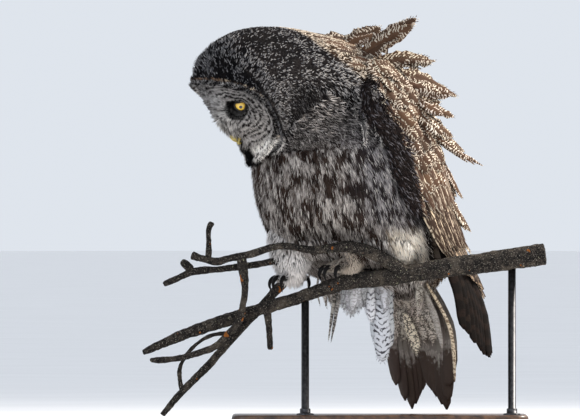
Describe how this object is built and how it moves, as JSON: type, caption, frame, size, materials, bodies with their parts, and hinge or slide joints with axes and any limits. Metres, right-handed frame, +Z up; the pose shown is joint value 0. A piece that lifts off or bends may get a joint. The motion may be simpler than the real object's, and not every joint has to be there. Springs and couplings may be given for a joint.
{
  "type": "great grey owl model on a display perch",
  "caption": "Life-size still model of a great grey owl bowed forward on a forked branch, held by a plain display stand.",
  "frame": {"origin": "middle of the underside of the stand, on the surface it rests on", "axes": "+Z up; the owl faces -Y, its left side is +X; the line of the perch runs at 45 degrees between +X and +Y"},
  "size_m": [0.5109, 0.5963, 0.6319],
  "materials": {
    "plumage_dark": "soft, barred and speckled feathers of crown, nape and neck",
    "plumage_grey": "soft, streaked feathers of breast, belly and legs",
    "plumage_brown": "soft, finely barred feathers of wings and back",
    "plumage_tail": "soft, broadly barred tail feathers",
    "eye": "glossy yellow iris with a black pupil under a clear cornea",
    "bill": "satin horn, straw yellow",
    "claw": "satin black horn",
    "foot": "short mottled feathers",
    "bark": "rough dark bark with lichen",
    "stand_wood": "black stained wood, satin",
    "stand_metal": "black satin paint"
  },
  "bodies": {
    "root": {"torso": "plumage_grey", "neck": "plumage_dark", "head": "plumage_dark", "eye_left": "eye", "eye_right": "eye", "bill_upper": "bill", "bill_lower": "bill", "wing_left": "plumage_brown", "wing_right": "plumage_brown", "leg_left": "foot", "leg_right": "foot", "foot_left": "foot", "foot_right": "foot", "tail": "plumage_tail", "claw_left_1": "claw", "claw_left_2": "claw", "claw_left_3": "claw", "claw_left_4": "claw", "claw_right_1": "claw", "claw_right_2": "claw", "claw_right_3": "claw", "claw_right_4": "claw", "perch_main": "bark", "perch_upper": "bark", "perch_diagonal": "bark", "perch_second": "bark", "perch_hanging": "bark", "perch_looped": "bark", "perch_upright": "bark", "perch_stub": "bark", "perch_downward": "bark", "stand_base": "stand_wood", "stand_rod_1": "stand_metal", "stand_rod_2": "stand_metal"}
  },
  "joints": []
}
